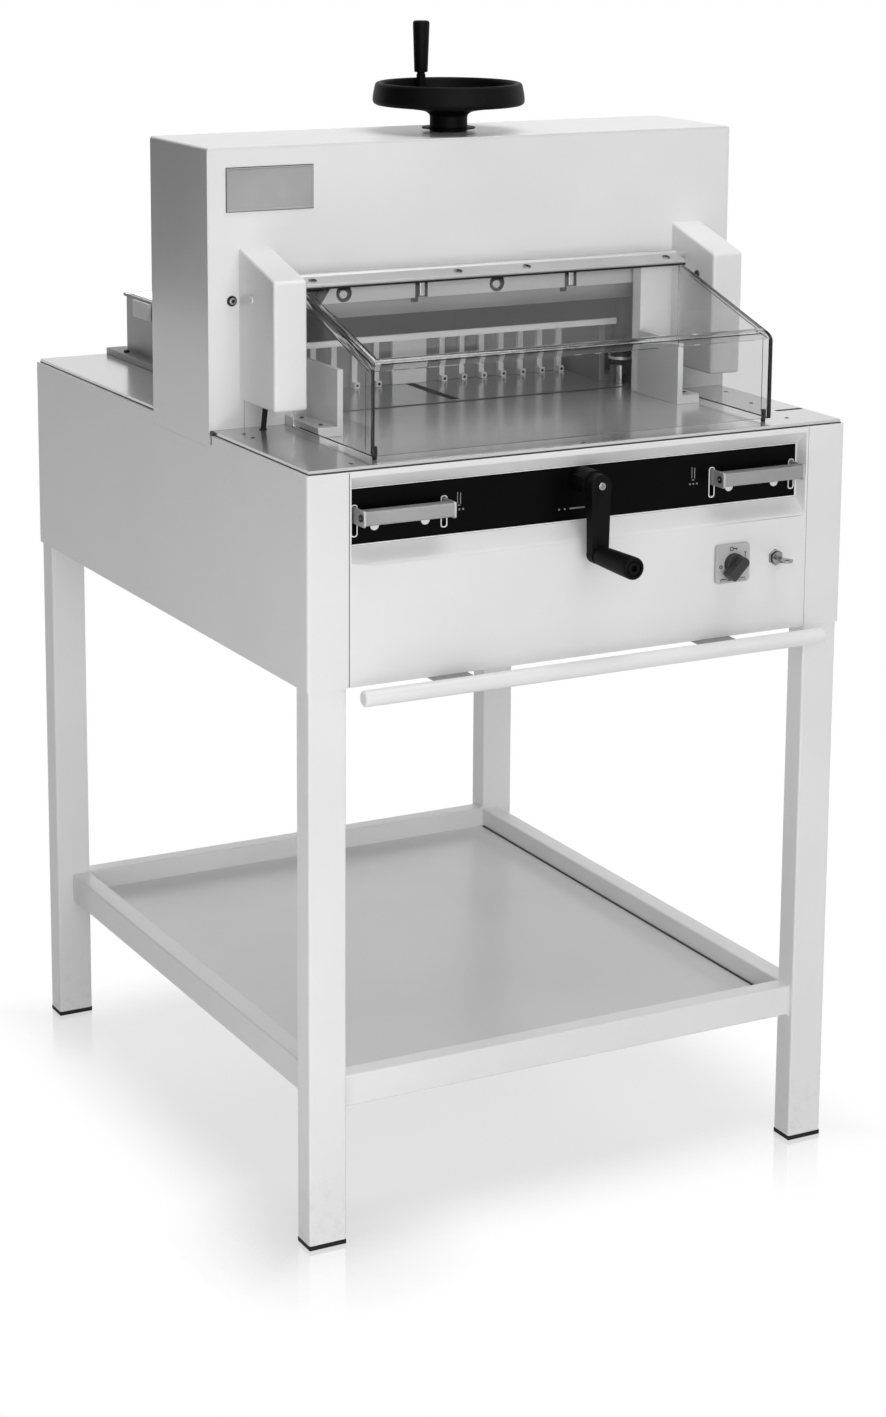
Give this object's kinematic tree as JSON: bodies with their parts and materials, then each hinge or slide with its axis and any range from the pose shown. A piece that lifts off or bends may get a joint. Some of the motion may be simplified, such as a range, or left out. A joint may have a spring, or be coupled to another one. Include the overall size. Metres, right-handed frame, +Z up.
{
  "type": "guillotine paper cutter",
  "caption": "Electric guillotine paper cutter with hand-wheel clamp, cranked back gauge, clear hinged guard and two-hand release bars, on a tubular stand with a shelf.",
  "frame": {"origin": "on the floor, under the middle of the whole box", "axes": "+Z up, the operator stands on the -Y side, +X is the operator's right"},
  "size_m": [0.76, 1.001, 1.4638],
  "materials": {
    "white_paint": "light grey powder coat",
    "shelf_paint": "light grey powder coat on sheet",
    "table_steel": "polished, hard-chromed table",
    "knife_steel": "ground knife steel",
    "bright_steel": "bright turned steel",
    "chrome_post": "hard chrome",
    "cast_frame": "machined and greased cast iron",
    "aluminium": "satin anodised extrusion",
    "gauge_alu": "satin anodised casting",
    "black_plastic": "satin black moulding",
    "black_panel": "satin black laminate",
    "grey_plastic": "grey switch moulding",
    "dark_plastic": "dark grey moulding",
    "white_plastic": "white moulding",
    "clear_sheet": "clear acrylic sheet",
    "rubber": "black rubber",
    "stick_plastic": "hard dark plastic",
    "drive_paint": "dark grey machine paint",
    "box_plastic": "grey enclosure",
    "nut_bronze": "bronze nut",
    "lock_metal": "plated lock ring"
  },
  "bodies": {
    "frame": {"stand_legs": "white_paint", "foot_pads": "rubber", "shelf_rails": "white_paint", "shelf_tray": "shelf_paint", "front_bar": "white_paint", "base_plate": "white_paint", "side_panel_left": "white_paint", "side_panel_right": "white_paint", "front_panel": "white_paint", "control_panel": "black_panel", "rear_panel": "white_paint", "mains_inlet": "dark_plastic", "work_table": "table_steel", "cutting_stick": "stick_plastic", "stick_beam": "cast_frame", "cheek_left": "cast_frame", "cheek_right": "cast_frame", "crossbeam": "cast_frame", "clamp_posts": "chrome_post", "carrier_guides": "cast_frame", "tower_front": "white_paint", "tower_shell": "white_paint", "tower_rear": "white_paint", "front_guides": "aluminium", "rear_guides": "aluminium", "rear_lid": "clear_sheet", "lid_clips": "white_plastic", "hinge_box_left": "white_paint", "hinge_box_right": "white_paint", "micro_switches": "dark_plastic", "box_cable": "rubber", "main_switch": "grey_plastic", "key_lock": "lock_metal", "motor": "drive_paint", "gearbox": "drive_paint", "control_box": "box_plastic", "spindle_bearings": "cast_frame"},
    "guard": {"guard_hood": "clear_sheet", "guard_sides": "clear_sheet", "guard_profile": "aluminium", "guard_bumpers": "rubber"},
    "knife": {"knife_carrier": "bright_steel", "knife_blade": "knife_steel", "pull_rod": "bright_steel"},
    "drive_crank": {"drive_crank": "bright_steel"},
    "clamp": {"clamp_beam": "bright_steel", "clamp_nut": "nut_bronze"},
    "handwheel": {"handwheel": "black_plastic", "clamp_spindle": "bright_steel"},
    "wheel_grip": {"wheel_grip": "black_plastic"},
    "gauge": {"backgauge": "gauge_alu", "gauge_carriage": "cast_frame"},
    "crank": {"crank_arm": "black_plastic", "gauge_spindle": "bright_steel"},
    "crank_grip": {"crank_grip": "black_plastic"},
    "release_left": {"release_bar_left": "aluminium"},
    "release_right": {"release_bar_right": "aluminium"},
    "switch_knob": {"switch_knob": "dark_plastic"},
    "key": {"key": "lock_metal"}
  },
  "joints": [
    {"name": "guard_hinge", "type": "hinge", "parent": "frame", "child": "guard", "pos_m": [0, -0.1375, 1.16], "axis": [-1, 0, 0], "range_deg": [0, 70]},
    {"name": "knife_slide", "type": "slide", "parent": "frame", "child": "knife", "axis": [-0.5446, 0, -0.8387], "range_m": [0, 0.14273]},
    {"name": "drive_crank_turn", "type": "hinge", "parent": "frame", "child": "drive_crank", "pos_m": [0.30513, 0.0105, 0.84515], "axis": [0, -1, 0], "range_deg": [0, 180]},
    {"name": "handwheel_turn", "type": "hinge", "parent": "frame", "child": "handwheel", "pos_m": [0, -0.0215, 1.4], "axis": [0, 0, 1], "range_deg": [0, 2880]},
    {"name": "clamp_slide", "type": "slide", "parent": "frame", "child": "clamp", "axis": [0, 0, -1], "range_m": [0, 0.08]},
    {"name": "wheel_grip_spin", "type": "hinge", "parent": "handwheel", "child": "wheel_grip", "pos_m": [0, 0.0565, 1.42], "axis": [0, 0, 1], "continuous": true},
    {"name": "crank_turn", "type": "hinge", "parent": "frame", "child": "crank", "pos_m": [0, -0.3895, 0.928], "axis": [0, -1, 0], "range_deg": [-1584, 5382]},
    {"name": "gauge_slide", "type": "slide", "parent": "frame", "child": "gauge", "axis": [0, 1, 0], "range_m": [-0.088, 0.299]},
    {"name": "crank_grip_spin", "type": "hinge", "parent": "crank", "child": "crank_grip", "pos_m": [0, -0.4495, 0.842], "axis": [0, -1, 0], "continuous": true},
    {"name": "release_left_press", "type": "slide", "parent": "frame", "child": "release_left", "axis": [0, 0, -1], "range_m": [0, 0.014], "stiffness_N_per_m": 600, "springref_m": -0.02},
    {"name": "release_right_press", "type": "slide", "parent": "frame", "child": "release_right", "axis": [0, 0, -1], "range_m": [0, 0.014], "stiffness_N_per_m": 600, "springref_m": -0.02},
    {"name": "switch_turn", "type": "hinge", "parent": "frame", "child": "switch_knob", "pos_m": [0.211, -0.3955, 0.804], "axis": [0, 1, 0], "range_deg": [0, 90]},
    {"name": "key_turn", "type": "hinge", "parent": "frame", "child": "key", "pos_m": [0.278, -0.3955, 0.804], "axis": [0, 1, 0], "range_deg": [0, 90]}
  ],
  "couplings": [
    {"joint": "clamp_slide", "follows": "handwheel_turn", "m_per_rad": 0.0015915},
    {"joint": "gauge_slide", "follows": "crank_turn", "m_per_rad": 0.0031831},
    {"joint": "drive_crank_turn", "follows": "knife_slide", "rad_per_m": 22.011}
  ]
}
